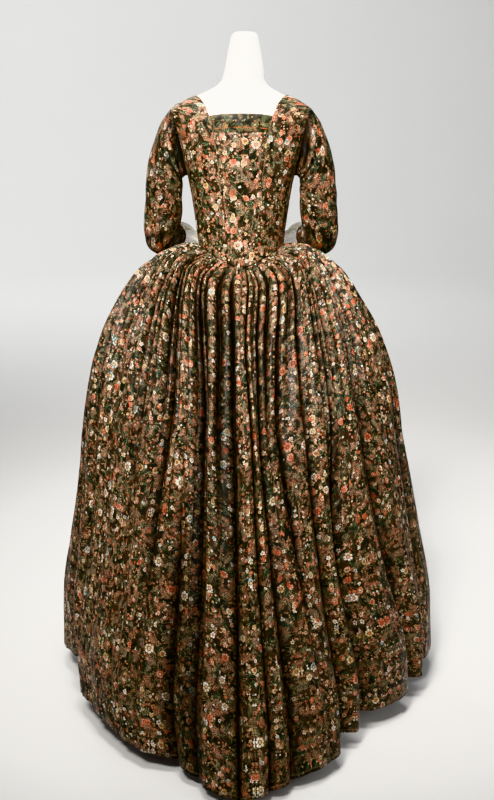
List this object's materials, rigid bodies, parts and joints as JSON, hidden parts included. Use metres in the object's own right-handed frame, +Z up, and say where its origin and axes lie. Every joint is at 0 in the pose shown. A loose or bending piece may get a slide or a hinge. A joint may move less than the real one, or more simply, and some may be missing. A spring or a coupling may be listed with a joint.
{
  "type": "robe a la polonaise on dress form",
  "caption": "Fitted open robe of dark flowered glazed cotton with elbow sleeves and a full pleated trained skirt, worn on a limbless dress form on a round stand.",
  "frame": {"origin": "middle of the underside of the stand's round base", "axes": "+Z up, +X to the wearer's left, +Y to the gown's back and its train, -Y to the gown's front"},
  "size_m": [0.8517, 0.976, 1.451],
  "materials": {
    "printed_cotton": "dark flowered print, glazed",
    "printed_cotton_band": "the same print cut crosswise, glazed",
    "silk_gauze": "sheer, matt",
    "form_cover": "smooth white, matt",
    "stand_paint": "white, satin"
  },
  "bodies": {
    "root": {"back_neckband": "printed_cotton_band", "bodice_back_left": "printed_cotton", "bodice_back_right": "printed_cotton", "bodice_side_back_left": "printed_cotton", "bodice_side_back_right": "printed_cotton", "bodice_front_left": "printed_cotton", "bodice_front_right": "printed_cotton", "shoulder_strap_left": "printed_cotton", "shoulder_strap_right": "printed_cotton", "sleeve_left": "printed_cotton", "sleeve_right": "printed_cotton", "sleeve_frill_left": "silk_gauze", "sleeve_frill_right": "silk_gauze", "skirt_back_left": "printed_cotton", "skirt_back_right": "printed_cotton", "skirt_side_left": "printed_cotton", "skirt_side_right": "printed_cotton", "skirt_front_left": "printed_cotton", "skirt_front_right": "printed_cotton", "form_body": "form_cover", "stand_base": "stand_paint", "stand_pole": "stand_paint"}
  },
  "joints": []
}
